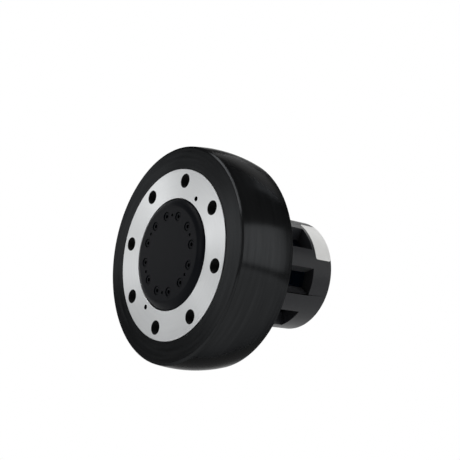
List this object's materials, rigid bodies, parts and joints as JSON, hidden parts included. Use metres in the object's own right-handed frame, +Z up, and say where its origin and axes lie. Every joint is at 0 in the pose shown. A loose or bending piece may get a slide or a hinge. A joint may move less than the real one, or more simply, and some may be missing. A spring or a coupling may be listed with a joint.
{
  "type": "robot joint actuator",
  "caption": "Strain-wave rotary joint: crowned black drum, bright bolted output flange with a raised hub, and a windowed rear housing.",
  "frame": {"origin": "on the turning axis, in the plane of the drum's rear face, where the joint is bolted on", "axes": "+Y along the turning axis from the output flange towards the rear cover, +Z up, +X completes the right-handed frame"},
  "size_m": [0.1511, 0.1155, 0.151],
  "materials": {
    "black_anodised": "black anodised, fine turned",
    "cast_anodised": "black anodised, fine blasted",
    "bright_flange": "ground, nickel plated",
    "black_steel": "black oxide",
    "bearing_steel": "ground",
    "dowel_steel": "ground",
    "seal_rubber": "matte",
    "electrical_steel": "laminated",
    "copper": "enamelled wire",
    "magnet": "nickel plated",
    "plain_aluminium": "machined",
    "friction_lining": "pressed lining",
    "circuit_board": "solder mask",
    "black_plastic": "moulded",
    "label_film": "white polyester film",
    "encoder_glass": "coated disc"
  },
  "bodies": {
    "housing": {"drum_housing": "black_anodised", "front_ring": "black_anodised", "bearing_outer_ring": "bearing_steel", "output_seal": "seal_rubber", "circular_spline": "bearing_steel", "rear_housing": "cast_anodised", "housing_screws": "black_steel", "rear_cover": "black_anodised", "cover_screws": "black_steel", "label": "label_film", "motor_front_plate": "plain_aluminium", "motor_rear_plate": "plain_aluminium", "shaft_bearings": "bearing_steel", "stator_core": "electrical_steel", "stator_coils": "copper", "brake_coil_body": "black_steel", "brake_spacers": "plain_aluminium", "encoder_board": "circuit_board", "reader_chip": "black_plastic", "encoder_standoffs": "plain_aluminium", "driver_board": "circuit_board", "board_standoffs": "plain_aluminium", "board_connectors": "black_plastic", "bus_capacitors": "black_plastic"},
    "output": {"output_flange": "bright_flange", "hub_disc": "black_steel", "hub_screws": "black_steel", "hub_dowels": "dowel_steel", "flexspline": "bearing_steel", "cup_clamp": "bearing_steel"},
    "rotor": {"motor_shaft": "bearing_steel", "wave_plug": "bearing_steel", "wave_bearing": "bearing_steel", "rotor_core": "electrical_steel", "rotor_magnets": "magnet", "friction_disc": "friction_lining", "encoder_disc": "encoder_glass"},
    "armature": {"brake_armature": "bearing_steel"}
  },
  "joints": [
    {"name": "output_turn", "type": "hinge", "parent": "housing", "child": "output", "pos_m": [0, -0.044, 0], "axis": [0, -1, 0], "continuous": true},
    {"name": "rotor_turn", "type": "hinge", "parent": "housing", "child": "rotor", "pos_m": [0, 0.012, 0], "axis": [0, -1, 0], "continuous": true},
    {"name": "brake_release", "type": "slide", "parent": "housing", "child": "armature", "axis": [0, 1, 0], "range_m": [0, 0.0003], "stiffness_N_per_m": 2000, "springref_m": -0.002}
  ],
  "couplings": [
    {"joint": "rotor_turn", "follows": "output_turn", "ratio": -30}
  ]
}
